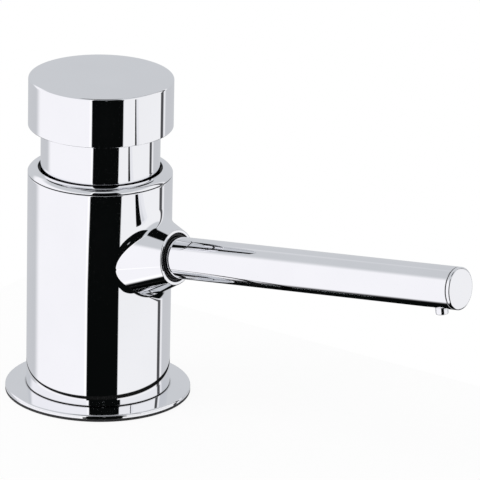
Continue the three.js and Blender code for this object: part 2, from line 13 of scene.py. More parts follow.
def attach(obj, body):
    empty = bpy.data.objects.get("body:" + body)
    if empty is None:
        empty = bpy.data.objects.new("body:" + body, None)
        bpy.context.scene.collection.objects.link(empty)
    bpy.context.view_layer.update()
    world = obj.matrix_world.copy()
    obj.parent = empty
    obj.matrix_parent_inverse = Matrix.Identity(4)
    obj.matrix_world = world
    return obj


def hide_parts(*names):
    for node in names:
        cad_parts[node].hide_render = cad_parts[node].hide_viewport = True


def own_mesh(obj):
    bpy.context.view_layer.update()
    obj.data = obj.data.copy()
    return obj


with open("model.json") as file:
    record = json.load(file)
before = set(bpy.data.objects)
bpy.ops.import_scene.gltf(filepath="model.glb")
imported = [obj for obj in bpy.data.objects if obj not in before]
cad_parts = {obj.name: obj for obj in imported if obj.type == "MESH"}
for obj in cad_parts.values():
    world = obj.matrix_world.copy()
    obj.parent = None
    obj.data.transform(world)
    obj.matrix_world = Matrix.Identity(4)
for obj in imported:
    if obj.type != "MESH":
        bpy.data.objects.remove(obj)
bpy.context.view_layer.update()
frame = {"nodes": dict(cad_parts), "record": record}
scene = bpy.context.scene
MM = 0.001


# Camera at the photograph's angle

CAMERA_AZIMUTH = 36.5626


def aim_camera():
    """Sets up the camera that was fitted to the photo's outlines."""
    azimuth, elevation = math.radians(CAMERA_AZIMUTH), math.radians(19.745)
    pan, tilt, roll = math.radians(1.4597), math.radians(-0.1152), math.radians(0.6655)
    distance, focal_pixels, image_pixels = 1600 * MM, 5514.25, 480
    target = Vector((0, 0, 50 * MM))
    back = Vector((math.sin(azimuth) * math.cos(elevation),
                   -math.cos(azimuth) * math.cos(elevation), math.sin(elevation)))
    place = target + back * distance
    right = Vector((math.cos(azimuth), math.sin(azimuth), 0))
    forward = -back
    up = right.cross(forward)
    forward = forward * math.cos(pan) + right * math.sin(pan)
    right = forward.cross(up).normalized()
    forward = forward * math.cos(tilt) + up * math.sin(tilt)
    up = right.cross(forward)
    right, up = (right * math.cos(roll) + up * math.sin(roll),
                 up * math.cos(roll) - right * math.sin(roll))
    data = bpy.data.cameras.new("camera")
    data.sensor_width = 36
    data.lens = focal_pixels / image_pixels * data.sensor_width
    data.clip_start, data.clip_end = 0.05, 20
    camera = bpy.data.objects.new("camera", data)
    scene.collection.objects.link(camera)
    camera.matrix_world = Matrix((
        (right.x, up.x, -forward.x, place.x),
        (right.y, up.y, -forward.y, place.y),
        (right.z, up.z, -forward.z, place.z),
        (0, 0, 0, 1)))
    scene.camera = camera


aim_camera()


# Sizes of the solids, repeated where a piece here stands for one of them

FIT = 0.3
GASKET_TOP = 0.8
FLANGE_RADIUS = 27.1
FLANGE_EDGE_TOP = 1.9
BODY_FOOT, BODY_TOP = 2.3, 66.95
BODY_RADIUS, BODY_BORE = 21.0, 19.4
COLLAR_BORE, COLLAR_TOP = 15.3, 14.05
RING_FOOT, RING_EDGE, RING_TOP = 67.2, 67.35, 68.75
RING_BORE, RING_SPIGOT_FOOT, RING_RIM = 17.6, 62.45, 18.7
RING_RELIEF, RING_RELIEF_FOOT = 18.05, 66.25
CAP_FOOT, CAP_TOP, CAP_ROOF = 81.35, 96.05, 93.55
SLEEVE_RADIUS, SLEEVE_BORE, SLEEVE_FOOT, SLEEVE_TOP = 17.3, 15.8, 63.55, 93.25
SPOUT_HEIGHT, SPOUT_TILT = 43.4, math.radians(7.5)
SPOUT_RADIUS, SPOUT_BORE = 6.05, 5.05
SPOUT_START, SPOUT_END = 21.3, 126.1
DISC_FOOT, TUBE_END = 124.9, 124.65
PLUG_START, PLUG_SPIGOT = 111.5, 4.75
LINE_SOCKET, LINE_END = 3.3, 114.9
NOZZLE_AT, NOZZLE_RADIUS, NOZZLE_BORE = 119.0, 1.85, 1.0
NOZZLE_START, NOZZLE_TIP = 2.35, 7.9
BOSS_RADIUS, BOSS_FACE, BOSS_FILLET, BOSS_FLANK = 8.0, 28.2, 4.032, 19.4
SEAL_OUTER, SEAL_FOOT, SEAL_TOP = 7.15, 26.2, 27.8
SEAL_START, SEAL_PLAY = 26.5, 0.15
GROOVE_RADIUS, GROOVE_FOOT, GROOVE_TOP = 7.05, 23.1, 24.1
SHANK_RADIUS, SHANK_BORE, SHANK_TOP, SHANK_FOOT = 15.0, 12.0, 13.75, -58.0
THREAD_PITCH, THREAD_DEPTH, THREAD_TOP = 3.0, 0.8, -3.0
WASHER_RADIUS, DECK_FOOT, RUBBER_FOOT, METAL_FOOT, NUT_FOOT = 24.0, -20.0, -22.5, -24.0, -32.0
NUT_HUB, NUT_REACH, NUT_LUG = 19.5, 24.1, 9.0
BOTTLE_RADIUS, BOTTLE_WALL, BOTTLE_TOP, BOTTLE_FLOOR = 34.0, 1.6, -42.3, -146.3
BOTTLE_NECK, BOTTLE_NECK_FOOT, BOTTLE_SHOULDER = 17.3, -60.3, -73.3
SPRING_FOOT, SPRING_TOP, SPRING_RADIUS, SPRING_WIRE, SPRING_COILS = 56.55, 86.95, 6.6, 0.5, 6


# Columns of turned pieces, the distance under which points are one, and how meshes are placed and shaded

ROUND, TUBE_SIDES = 256, 160
NEAR = 1e-6
IN_PLACE = Matrix.Identity(4)
SHARP_ANGLE = math.radians(35)


# Profiles: runs of (radius, height, normal) with the outside on the right-hand side of travel

def line(a, b, steps=1):
    (r0, z0), (r1, z1) = a, b
    length = math.hypot(r1 - r0, z1 - z0)
    normal = ((z1 - z0) / length, (r0 - r1) / length)
    return [(r0 + (r1 - r0) * k / steps, z0 + (z1 - z0) * k / steps, normal) for k in range(steps + 1)]


def straights(*points):
    """Straight runs from point to point."""
    return [line(a, b) for a, b in zip(points, points[1:])]


def arc(centre, radius, start, end, steps):
    """A round corner between two angles in degrees."""
    run = []
    turn = 1 if end > start else -1
    for k in range(steps + 1):
        angle = math.radians(start + (end - start) * k / steps)
        c, s = math.cos(angle), math.sin(angle)
        normal = Vector((c, s)).normalized() * turn
        run.append((centre[0] + radius * c, centre[1] + radius * s, (normal.x, normal.y)))
    return run


class Shape:
    """Collects corner points and faces with an exact surface direction at each face corner."""

    def __init__(self):
        self.points, self.faces, self.normals = [], [], []

    def point(self, place):
        self.points.append(tuple(place))
        return len(self.points) - 1

    def face(self, corners, normals):
        kept = [k for k, corner in enumerate(corners) if corner != corners[k - 1]]
        if len(kept) > 2:
            self.faces.append([corners[k] for k in kept])
            self.normals += [tuple(normals[k]) for k in kept]

    def strip(self, first, second, first_normals, second_normals):
        """Faces between two columns of points."""
        for k, (low, high) in enumerate(zip(first_normals, second_normals)):
            self.face([first[k], second[k], second[k + 1], first[k + 1]],
                      [low[0], high[0], high[1], low[1]])


def turn_normal(normal, angle):
    return (normal[0] * math.cos(angle), normal[0] * math.sin(angle), normal[1])


def lathe(runs, sides=ROUND, window=None):
    """Turns the runs about Z into a shape, and gives its rows and the table of its points too.

    A window is (half its columns, {(run, step)}) and is left open round angle zero.
    """
    shape = Shape()
    rows, spans = [], []
    for number, run in enumerate(runs):
        for step, (radius, height, normal) in enumerate(run):
            if step == 0 and rows:
                continue
            rows.append((radius, height))
            if step:
                spans.append((number, step - 1, run[step - 1][2], normal))
    closed = math.dist(rows[0], rows[-1]) < NEAR
    if closed:
        rows.pop()
    table = []
    for radius, height in rows:
        if radius < NEAR:
            table.append([shape.point((0, 0, height))] * sides)
        else:
            table.append([shape.point((radius * math.cos(2 * math.pi * i / sides),
                                       radius * math.sin(2 * math.pi * i / sides), height))
                          for i in range(sides)])
    half, open_spans = window if window else (0, ())
    for k, (number, step, low, high) in enumerate(spans):
        a, b = table[k], table[(k + 1) % len(table)]
        for i in range(sides):
            if (number, step) in open_spans and (i < half or i >= sides - half):
                continue
            j = (i + 1) % sides
            at, after = 2 * math.pi * i / sides, 2 * math.pi * (i + 1) / sides
            shape.face([a[i], a[j], b[j], b[i]],
                       [turn_normal(low, at), turn_normal(low, after),
                        turn_normal(high, after), turn_normal(high, at)])
    return shape, rows, table


def row_at(rows, place):
    """Number of the row at a place of the profile."""
    return next(k for k, row in enumerate(rows) if math.dist(row, place) < NEAR)


def window_edge(half, low_row, high_row):
    """(row, column) round the edge of a window, counterclockwise seen from outside."""
    bottom = [(low_row, i) for i in range(-half, half)]
    right = [(k, half) for k in range(low_row, high_row)]
    top = [(high_row, i) for i in range(half, -half, -1)]
    left = [(k, -half) for k in range(high_row, low_row, -1)]
    return bottom + right + top + left


def columns_through(shape, columns):
    """Joins columns of runs of (point, normal) into a skin; a corner given as a number is reused."""
    indices, pairs = [], []
    for runs in columns:
        column, spans = [], []
        for run in runs:
            for step, (place, normal) in enumerate(run):
                if step == 0 and column:
                    continue
                column.append(place if isinstance(place, int) else shape.point(place))
                if step:
                    spans.append((run[step - 1][1], normal))
        indices.append(column)
        pairs.append(spans)
    count = len(columns)
    for i in range(count):
        j = (i + 1) % count
        shape.strip(indices[i], indices[j], pairs[i], pairs[j])


def add_object(name, shape, finish, placing):
    """Turns a shape into an object, with its exact surface directions where it has them."""
    mesh = bpy.data.meshes.new(name)
    turn = placing.to_3x3()
    kept = sorted({index for face in shape.faces for index in face})
    place = {index: number for number, index in enumerate(kept)}
    mesh.from_pydata([tuple((placing @ Vector(shape.points[index])) * MM) for index in kept], [],
                     [[place[index] for index in face] for face in shape.faces])
    mesh.polygons.foreach_set("use_smooth", [True] * len(shape.faces))
    if shape.normals:
        mesh.normals_split_custom_set([tuple(turn @ Vector(n)) for n in shape.normals])
    else:
        mesh.set_sharp_from_angle(angle=SHARP_ANGLE)
    mesh.materials.append(finish)
    mesh.update()
    added = bpy.data.objects.new(name, mesh)
    scene.collection.objects.link(added)
    return added


def make(name, shape, body, node, slot, placing=IN_PLACE):
    """Adds a piece that stands for a CAD node, rides on its body and has the finish of its slot."""
    piece = add_object(name, shape, slot_finish[slot], placing)
    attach(piece, body)
    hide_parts(node)
    return piece


# Finishes

def new_finish(name):
    finish = bpy.data.materials.new(name)
    finish.use_nodes = True
    tree = finish.node_tree
    shader = tree.nodes["Principled BSDF"]
    coords = tree.nodes.new("ShaderNodeTexCoord").outputs["Object"]
    return finish, tree, shader, coords


def noise(tree, coords, scale, detail, roughness=0.5, stretch=(1, 1, 1)):
    mapping = tree.nodes.new("ShaderNodeMapping")
    mapping.inputs["Scale"].default_value = stretch
    tree.links.new(coords, mapping.inputs["Vector"])
    texture = tree.nodes.new("ShaderNodeTexNoise")
    texture.inputs["Scale"].default_value = scale
    texture.inputs["Detail"].default_value = detail
    texture.inputs["Roughness"].default_value = roughness
    tree.links.new(mapping.outputs["Vector"], texture.inputs["Vector"])
    return texture.outputs["Fac"]


def ramp(tree, value, stops):
    """Colours or grey levels along a value; stops are (place, level or colour)."""
    node = tree.nodes.new("ShaderNodeValToRGB")
    elements = node.color_ramp.elements
    while len(elements) < len(stops):
        elements.new(0.5)
    for element, (place, level) in zip(elements, stops):
        element.position = place
        colour = level if isinstance(level, tuple) else (level, level, level)
        element.color = (*colour, 1)
    tree.links.new(value, node.inputs["Fac"])
    return node.outputs["Color"]


def bump(tree, shader, height, strength, distance):
    node = tree.nodes.new("ShaderNodeBump")
    node.inputs["Strength"].default_value = strength
    node.inputs["Distance"].default_value = distance
    tree.links.new(height, node.inputs["Height"])
    tree.links.new(node.outputs["Normal"], shader.inputs["Normal"])


def plug(tree, value, socket):
    """Sets a socket to a number or a colour, or links it to another node's output."""
    if isinstance(value, tuple):
        socket.default_value = (*value, 1)
    elif isinstance(value, (int, float)):
        socket.default_value = value
    else:
        tree.links.new(value, socket)


def calc(tree, operation, *values):
    node = tree.nodes.new("ShaderNodeMath")
    node.operation = operation
    for value, socket in zip(values, node.inputs):
        plug(tree, value, socket)
    return node.outputs["Value"]


def smooth_rise(tree, value, low, high):
    """Zero up to the low end, one from the high end on, and smooth between them."""
    node = tree.nodes.new("ShaderNodeMapRange")
    node.interpolation_type = "SMOOTHSTEP"
    for name, given in (("Value", value), ("From Min", low), ("From Max", high)):
        plug(tree, given, node.inputs[name])
    return node.outputs["Result"]


def blended(tree, share, below, above, kind="MIX"):
    """Blends two colours: at a share of one the second takes the place of the first or acts in full."""
    node = tree.nodes.new("ShaderNodeMix")
    node.data_type = "RGBA"
    node.blend_type = kind
    plug(tree, share, node.inputs["Factor"])
    for name, colour in (("A", below), ("B", above)):
        plug(tree, colour, next(s for s in node.inputs if s.name == name and s.type == "RGBA"))
    return next(s for s in node.outputs if s.type == "RGBA")


def mixed(tree, share, first, second):
    """Mixes two shaders: a share of one gives the second."""
    node = tree.nodes.new("ShaderNodeMixShader")
    plug(tree, share, node.inputs["Fac"])
    tree.links.new(first, node.inputs[1])
    tree.links.new(second, node.inputs[2])
    return node.outputs["Shader"]


def metal_finish(name, dark, light, rough, wave, wave_height):
    """Polished metal: slight tint changes, painted shade in narrow seams, polishing haze and a faint
    waviness.
    """
    finish, tree, shader, coords = new_finish(name)
    shader.inputs["Metallic"].default_value = 1
    tint = ramp(tree, noise(tree, coords, scale=45, detail=4), [(0.3, dark), (0.7, light)])
    # Ambient occlusion darkens the colour near other surfaces: painted shade in seams and crevices.
    crevice_occlusion = tree.nodes.new("ShaderNodeAmbientOcclusion")
    crevice_occlusion.samples = 12
    crevice_occlusion.inputs["Distance"].default_value = 0.0011
    painted_crevice_shade = ramp(tree, crevice_occlusion.outputs["AO"], [(0.45, 0.03), (0.78, 1.0)])
    tree.links.new(blended(tree, 1, tint, painted_crevice_shade, "MULTIPLY"), shader.inputs["Base Color"])
    haze = noise(tree, coords, scale=160, detail=6, roughness=0.6, stretch=(1, 1, 0.35))
    tree.links.new(ramp(tree, haze, [(0.35, rough[0]), (0.75, rough[1])]), shader.inputs["Roughness"])
    bump(tree, shader, noise(tree, coords, scale=wave, detail=2), strength=wave_height, distance=0.0002)
    return finish


def matt_finish(name, dark, light, rough, grain, depth):
    """Moulded plastic or rubber: clouded colour, fine grain and a roughness that changes slowly."""
    finish, tree, shader, coords = new_finish(name)
    clouds = noise(tree, coords, scale=30, detail=5, roughness=0.6)
    tree.links.new(ramp(tree, clouds, [(0.3, dark), (0.7, light)]), shader.inputs["Base Color"])
    slow = noise(tree, coords, scale=60, detail=3)
    tree.links.new(ramp(tree, slow, [(0.3, rough[0]), (0.7, rough[1])]), shader.inputs["Roughness"])
    fine = noise(tree, coords, scale=grain, detail=4, roughness=0.7)
    bump(tree, shader, fine, strength=depth, distance=0.0001)
    return finish


def bottle_finish():
    """Milky blow-moulded plastic: lets light through, with faint flow clouds and a soft sheen."""
    finish, tree, shader, coords = new_finish("bottle_plastic")
    clouds = noise(tree, coords, scale=22, detail=5, roughness=0.6, stretch=(1, 1, 0.4))
    tree.links.new(ramp(tree, clouds, [(0.3, (0.84, 0.88, 0.89)), (0.7, (0.90, 0.93, 0.94))]),
                   shader.inputs["Base Color"])
    slow = noise(tree, coords, scale=40, detail=3)
    tree.links.new(ramp(tree, slow, [(0.3, 0.34), (0.7, 0.46)]), shader.inputs["Roughness"])
    shader.inputs["IOR"].default_value = 1.5
    flow = noise(tree, coords, scale=260, detail=5, roughness=0.6)
    bump(tree, shader, flow, strength=0.18, distance=0.0002)
    through = tree.nodes.new("ShaderNodeBsdfTranslucent")
    through.inputs["Color"].default_value = (0.90, 0.94, 0.95, 1)
    through_share = 0.3
    tree.links.new(mixed(tree, through_share, shader.outputs["BSDF"], through.outputs["BSDF"]),
                   tree.nodes["Material Output"].inputs["Surface"])
    return finish


slot_finish = {
    "chrome": metal_finish(
        "chrome", dark=(0.895, 0.90, 0.92), light=(0.92, 0.925, 0.945),
        rough=(0.015, 0.035), wave=30, wave_height=0.02),
    "steel": metal_finish(
        "steel", dark=(0.50, 0.51, 0.53), light=(0.62, 0.63, 0.65),
        rough=(0.22, 0.34), wave=300, wave_height=0.12),
    "black_rubber": matt_finish(
        "rubber", dark=(0.010, 0.010, 0.011), light=(0.022, 0.022, 0.024),
        rough=(0.55, 0.75), grain=1800, depth=0.35),
    "white_plastic": matt_finish(
        "white_plastic", dark=(0.78, 0.78, 0.76), light=(0.84, 0.84, 0.83),
        rough=(0.35, 0.5), grain=900, depth=0.15),
    "grey_plastic": matt_finish(
        "grey_plastic", dark=(0.38, 0.39, 0.41), light=(0.46, 0.47, 0.49),
        rough=(0.4, 0.55), grain=900, depth=0.15),
    "black_plastic": matt_finish(
        "black_plastic", dark=(0.020, 0.020, 0.022), light=(0.038, 0.038, 0.042),
        rough=(0.38, 0.55), grain=1100, depth=0.3),
    "bottle_plastic": bottle_finish(),
}
for part in frame["record"]["subparts"]:
    mesh = frame["nodes"][part["node"]].data
    mesh.materials.clear()
    mesh.materials.append(slot_finish[part["material_slot"]])


# Foot on the worktop

def rounded(points, roundings):
    """Runs of a closed profile through (radius, height) corners, each with its own rounding."""
    count = len(points)
    cut = []
    for k, corner in enumerate(points):
        before, here, after = Vector(points[k - 1]), Vector(corner), Vector(points[(k + 1) % count])
        to_before, to_after = (before - here).normalized(), (after - here).normalized()
        radius = roundings[k]
        if not radius:
            cut.append((here, here, None))
            continue
        half = to_before.angle(to_after) / 2
        reach = radius / math.tan(half)
        centre = here + (to_before + to_after).normalized() * (radius / math.sin(half))
        cut.append((here + to_before * reach, here + to_after * reach, centre))
    runs = []
    for k in range(count):
        start, end, centre = cut[k]
        if centre is not None:
            first, last = start - centre, end - centre
            turn = first.angle_signed(last)
            a0 = math.degrees(math.atan2(first.y, first.x))
            a1 = a0 - math.degrees(turn)
            runs.append(arc(centre, first.length, a0, a1, 6))
        leave, arrive = end, cut[(k + 1) % count][0]
        if (arrive - leave).length > NEAR:
            runs.append(line(leave, arrive))
    return runs


def ring_piece(name, points, roundings, body, node, slot, placing=IN_PLACE, sides=ROUND):
    """Adds a turned piece whose closed profile is given as for rounded."""
    make(name, lathe(rounded(points, roundings), sides)[0], body, node, slot, placing)


ring_piece("gasket_ring", [
    (COLLAR_BORE, 0), (FLANGE_RADIUS, 0), (FLANGE_RADIUS, GASKET_TOP), (COLLAR_BORE, GASKET_TOP)],
    [0, 0.15, 0.15, 0], "housing", "flange_gasket", "black_rubber")

ring_piece("flange_plate", [
    (COLLAR_BORE, GASKET_TOP), (FLANGE_RADIUS, GASKET_TOP), (FLANGE_RADIUS, FLANGE_EDGE_TOP),
    (BODY_RADIUS, BODY_FOOT), (COLLAR_BORE, BODY_FOOT)],
    [0, 0.1, 0.6, 0, 0], "housing", "base_flange", "chrome")


# Body with the spout's boss

SPOUT_PLACING = (Matrix.Translation((0, 0, SPOUT_HEIGHT))
                 @ Matrix.Rotation(math.pi / 2 - SPOUT_TILT, 4, "Y"))
SPOUT_AXIS = Vector((math.cos(SPOUT_TILT), 0, math.sin(SPOUT_TILT)))
SPOUT_UP = Vector((-math.sin(SPOUT_TILT), 0, math.cos(SPOUT_TILT)))
SPOUT_SIDE = Vector((0, 1, 0))
SPOUT_ORIGIN = Vector((0, 0, SPOUT_HEIGHT))


def spout_point(out, radius, distance):
    return SPOUT_ORIGIN + SPOUT_AXIS * distance + out * radius


def out_at(turn):
    return SPOUT_SIDE * math.cos(turn) + SPOUT_UP * math.sin(turn)


BOSS_FLARE = (math.asin(BOSS_FLANK / math.hypot(BOSS_FACE, BOSS_RADIUS))
              - math.atan2(BOSS_RADIUS, BOSS_FACE))


def ball_at(out):
    """Centre of the ball that rolls along the boss's cone and the body, and so sweeps their fillet."""
    slope = math.tan(BOSS_FLARE)
    reach = BOSS_RADIUS + BOSS_FACE * slope + BOSS_FILLET / math.cos(BOSS_FLARE)
    along, across = SPOUT_AXIS.x - out.x * slope, out.y * slope
    squares = along ** 2 + across ** 2
    middle = reach * (along * out.x - across * out.y) / squares
    rest = (reach ** 2 * (out.x ** 2 + out.y ** 2) - (BODY_RADIUS + BOSS_FILLET) ** 2) / squares
    distance = math.sqrt(middle ** 2 - rest) - middle
    return spout_point(out, reach - distance * slope, distance)


def on_cylinder(radius, angle, height):
    return Vector((radius * math.cos(angle), radius * math.sin(angle), height))


def level(place):
    return Vector((place.x, place.y, 0)).normalized()


def contact_at(turn):
    """Angle and height at which the fillet runs out on the body."""
    ball = ball_at(out_at(turn))
    foot = ball - level(ball) * BOSS_FILLET
    return math.atan2(foot.y, foot.x), foot.z


def turns_for(directions, centre_height):
    """For each direction in the unrolled wall, the turn round the boss whose contact lies there."""
    samples, least_span = 1440, 1e-9
    table = []
    for k in range(-samples // 4, samples + samples // 4):
        turn = 2 * math.pi * k / samples
        angle, height = contact_at(turn)
        seen = math.atan2(height - centre_height, BODY_RADIUS * angle)
        while table and seen < table[-1][0] - math.pi:
            seen += 2 * math.pi
        table.append((seen, turn))
    found = []
    for direction in directions:
        while direction < table[0][0]:
            direction += 2 * math.pi
        for (low, before), (high, after) in zip(table, table[1:]):
            if low <= direction <= high:
                share = (direction - low) / max(high - low, least_span)
                found.append(before + (after - before) * share)
                break
    return found


def wall_patch(radius, start, end, steps, facing):
    """Points from one (angle, height) to another on a round wall, and their surface direction."""
    points = []
    for k in range(steps + 1):
        share = k / steps
        angle = start[0] + (end[0] - start[0]) * share
        place = on_cylinder(radius, angle, start[1] + (end[1] - start[1]) * share)
        points.append((place, level(place) * facing))
    return points


def fillet_run(ball, to_body, to_boss):
    """Arc of the rolling ball from the body to the boss."""
    steps = 24
    opening = to_body.angle(to_boss)
    run = []
    for k in range(steps + 1):
        share = k / steps
        direction = (to_body * math.sin((1 - share) * opening)
                     + to_boss * math.sin(share * opening)) / math.sin(opening)
        run.append((ball + direction * BOSS_FILLET, -direction))
    return run


def boss_profile(touch, bore_distance):
    """Runs of (radius, distance) from the fillet's end over the lip and down the socket to the bore."""
    lip, mouth, socket = 0.4, 0.15, SPOUT_RADIUS + FIT
    lip_radius = BOSS_RADIUS - lip * (1 - math.sin(BOSS_FLARE)) / math.cos(BOSS_FLARE)
    lip_arc = arc((lip_radius, BOSS_FACE - lip), lip, math.degrees(BOSS_FLARE), 90, 8)
    return [
        line(touch, lip_arc[0][:2], steps=3),
        lip_arc,
        line(lip_arc[-1][:2], (SEAL_OUTER + mouth, BOSS_FACE)),
        arc((SEAL_OUTER + mouth, BOSS_FACE - mouth), mouth, 90, 180, 4),
        *straights((SEAL_OUTER, BOSS_FACE - mouth), (SEAL_OUTER, SEAL_FOOT), (socket, SEAL_FOOT),
                   (socket, GROOVE_TOP), (GROOVE_RADIUS, GROOVE_TOP), (GROOVE_RADIUS, GROOVE_FOOT),
                   (socket, GROOVE_FOOT), (socket, SPOUT_START - FIT),
                   (LINE_SOCKET, SPOUT_START - FIT), (LINE_SOCKET, bore_distance)),
    ]


def body_shape():
    """The turned body, with a window round angle zero that the boss and its socket fill."""
    half, steps = 37, 32
    low, high = 26.6, 64.9
    heights = [low + (high - low) * k / steps for k in range(steps + 1)]
    edge = 0.35
    runs = [
        arc((BODY_RADIUS - edge, BODY_FOOT + edge), edge, -90, 0, 6),
        line((BODY_RADIUS, BODY_FOOT + edge), (BODY_RADIUS, low)),
        line((BODY_RADIUS, low), (BODY_RADIUS, high), steps),
        line((BODY_RADIUS, high), (BODY_RADIUS, BODY_TOP - edge)),
        arc((BODY_RADIUS - edge, BODY_TOP - edge), edge, 0, 90, 6),
        *straights((BODY_RADIUS - edge, BODY_TOP), (BODY_BORE, BODY_TOP), (BODY_BORE, high)),
        line((BODY_BORE, high), (BODY_BORE, low), steps),
        *straights((BODY_BORE, low), (BODY_BORE, COLLAR_TOP), (COLLAR_BORE, COLLAR_TOP),
                   (COLLAR_BORE, BODY_FOOT), (BODY_RADIUS - edge, BODY_FOOT)),
    ]
    wall_run, bore_run = 2, 7
    opened = {(run, k) for run in (wall_run, bore_run) for k in range(steps)}
    shape, rows, table = lathe(runs, ROUND, (half, opened))
    outer = row_at(rows, (BODY_RADIUS, low))
    inner = row_at(rows, (BODY_BORE, low))
    centre_height = SPOUT_HEIGHT + BODY_RADIUS * math.tan(SPOUT_TILT)
    border = window_edge(half, 0, steps)
    pitch = 2 * math.pi / ROUND
    places = [(column * pitch, heights[row]) for row, column in border]
    directions = [math.atan2(z - centre_height, BODY_RADIUS * angle) for angle, z in places]
    turns = turns_for(directions, centre_height)
    columns = []
    for (row, column), (angle, height), turn in zip(border, places, turns):
        out = out_at(turn)
        ball = ball_at(out)
        patch = wall_patch(BODY_RADIUS, (angle, height), contact_at(turn), steps=8, facing=1)
        patch[0] = (table[outer + row][column % ROUND], patch[0][1])
        cone_normal = out * math.cos(BOSS_FLARE) + SPOUT_AXIS * math.sin(BOSS_FLARE)
        chain = [patch, fillet_run(ball, -level(ball), -cone_normal)]
        touch = ball - cone_normal * BOSS_FILLET - SPOUT_ORIGIN
        bore_x = math.sqrt(BODY_BORE ** 2 - (LINE_SOCKET * out.y) ** 2)
        bore_distance = (bore_x - LINE_SOCKET * out.x) / SPOUT_AXIS.x
        for run in boss_profile((touch.dot(out), touch.dot(SPOUT_AXIS)), bore_distance):
            chain.append([(spout_point(out, radius, distance), out * normal[0] + SPOUT_AXIS * normal[1])
                          for radius, distance, normal in run])
        rim = spout_point(out, LINE_SOCKET, bore_distance)
        rim_place = (math.atan2(rim.y, rim.x), rim.z)
        back = wall_patch(BODY_BORE, rim_place, (angle, height), steps=6, facing=-1)
        back[-1] = (table[inner - row][column % ROUND], back[-1][1])
        columns.append(chain + [back])
    columns_through(shape, columns)
    return shape


make("body_turned", body_shape(), "housing", "body_shell", "chrome")


# Guide ring, sleeve and cap

def guide_ring_shape():
    """Ring on the body: its spigot in the bore, a domed shoulder and a relief round the sleeve."""
    spigot, edge, lip = BODY_BORE - FIT, 0.1, 0.15
    across, rise = BODY_RADIUS - RING_RIM, RING_TOP - RING_EDGE
    bend = (across ** 2 + rise ** 2) / (2 * rise)
    start = math.degrees(math.atan2(bend - rise, across))
    return lathe([
        *straights((RING_BORE, RING_SPIGOT_FOOT), (spigot, RING_SPIGOT_FOOT), (spigot, RING_FOOT),
                   (BODY_RADIUS - edge, RING_FOOT)),
        arc((BODY_RADIUS - edge, RING_FOOT + edge), edge, -90, 0, 4),
        line((BODY_RADIUS, RING_FOOT + edge), (BODY_RADIUS, RING_EDGE)),
        arc((RING_RIM, RING_TOP - bend), bend, start, 90, 24),
        line((RING_RIM, RING_TOP), (RING_RELIEF + lip, RING_TOP)),
        arc((RING_RELIEF + lip, RING_TOP - lip), lip, 90, 180, 6),
        *straights((RING_RELIEF, RING_TOP - lip), (RING_RELIEF, RING_RELIEF_FOOT),
                   (RING_BORE, RING_RELIEF_FOOT), (RING_BORE, RING_SPIGOT_FOOT)),
    ])[0]


make("ring_turned", guide_ring_shape(), "housing", "guide_ring", "chrome")

ring_piece("sleeve_turned", [
    (SLEEVE_BORE, SLEEVE_FOOT), (SLEEVE_RADIUS, SLEEVE_FOOT),
    (SLEEVE_RADIUS, SLEEVE_TOP), (SLEEVE_BORE, SLEEVE_TOP)],
    [0, 0.2, 0.2, 0], "plunger", "cap_sleeve", "chrome")


def cap_shape():
    """Cap with a deep socket for the sleeve."""
    bore = SLEEVE_RADIUS + FIT
    return lathe(rounded([
        (0, CAP_ROOF), (bore, CAP_ROOF), (bore, CAP_FOOT), (BODY_RADIUS, CAP_FOOT),
        (BODY_RADIUS, CAP_TOP), (0, CAP_TOP)], [0, 0, 0.15, 0.25, 0.7, 0]))[0]


make("cap_turned", cap_shape(), "plunger", "press_cap", "chrome")


# Spout, in its own frame: its Z runs along the tube and its X points down

def holed_tube(runs, half, steps, wall_run, hole, far_run=None, depth_end=None):
    """A turned piece with a cross hole at angle zero, through to a far run or down to a floor."""
    opened = {(wall_run, k) for k in range(steps)}
    if far_run is not None:
        opened |= {(far_run, k) for k in range(steps)}
    shape, rows, table = lathe(runs, TUBE_SIDES, (half, opened))
    start = runs[wall_run][0]
    outer = row_at(rows, start[:2])
    radius = start[0]
    heights = [point[1] for point in runs[wall_run]]
    middle = (heights[0] + heights[-1]) / 2
    columns = []
    centre = None if far_run is not None else shape.point((depth_end, 0, middle))
    for row, column in window_edge(half, 0, steps):
        angle = 2 * math.pi * column / TUBE_SIDES
        y, z = radius * math.sin(angle), heights[row] - middle
        turn = math.atan2(z, y)
        y, z = hole * math.cos(turn), hole * math.sin(turn)
        inward = Vector((0, -math.cos(turn), -math.sin(turn)))
        rim = Vector((math.sqrt(radius ** 2 - y ** 2), y, middle + z))
        wall_out = level(on_cylinder(1, angle, 0))
        chain = [[(table[outer + row][column % TUBE_SIDES], wall_out), (rim, level(rim))]]
        if far_run is None:
            floor = Vector((depth_end, y, middle + z))
            up = Vector((1, 0, 0))
            chain += [[(rim, inward), (floor, inward)], [(floor, up), (centre, up)]]
        else:
            bore = runs[far_run][0][0]
            inner = row_at(rows, runs[far_run][-1][:2])
            far = Vector((math.sqrt(bore ** 2 - y ** 2), y, middle + z))
            chain += [[(rim, inward), (far, inward)],
                      [(far, -level(far)), (table[inner - row][column % TUBE_SIDES], -wall_out)]]
        columns.append(chain)
    columns_through(shape, columns)
    return shape


def spout_tube_shape():
    """Plain tube with a hole for the nozzle near its end."""
    window, steps, edge, play = 3.5, 14, 0.15, 0.12
    low, high = NOZZLE_AT - window, NOZZLE_AT + window
    return holed_tube([
        line((SPOUT_RADIUS, SPOUT_START), (SPOUT_RADIUS, low)),
        line((SPOUT_RADIUS, low), (SPOUT_RADIUS, high), steps),
        line((SPOUT_RADIUS, high), (SPOUT_RADIUS, TUBE_END - edge)),
        arc((SPOUT_RADIUS - edge, TUBE_END - edge), edge, 0, 90, 4),
        *straights((SPOUT_RADIUS - edge, TUBE_END), (SPOUT_BORE, TUBE_END), (SPOUT_BORE, high)),
        line((SPOUT_BORE, high), (SPOUT_BORE, low), steps),
        *straights((SPOUT_BORE, low), (SPOUT_BORE, SPOUT_START), (SPOUT_RADIUS, SPOUT_START)),
    ], half=14, steps=steps, wall_run=1, hole=NOZZLE_RADIUS + play, far_run=6)


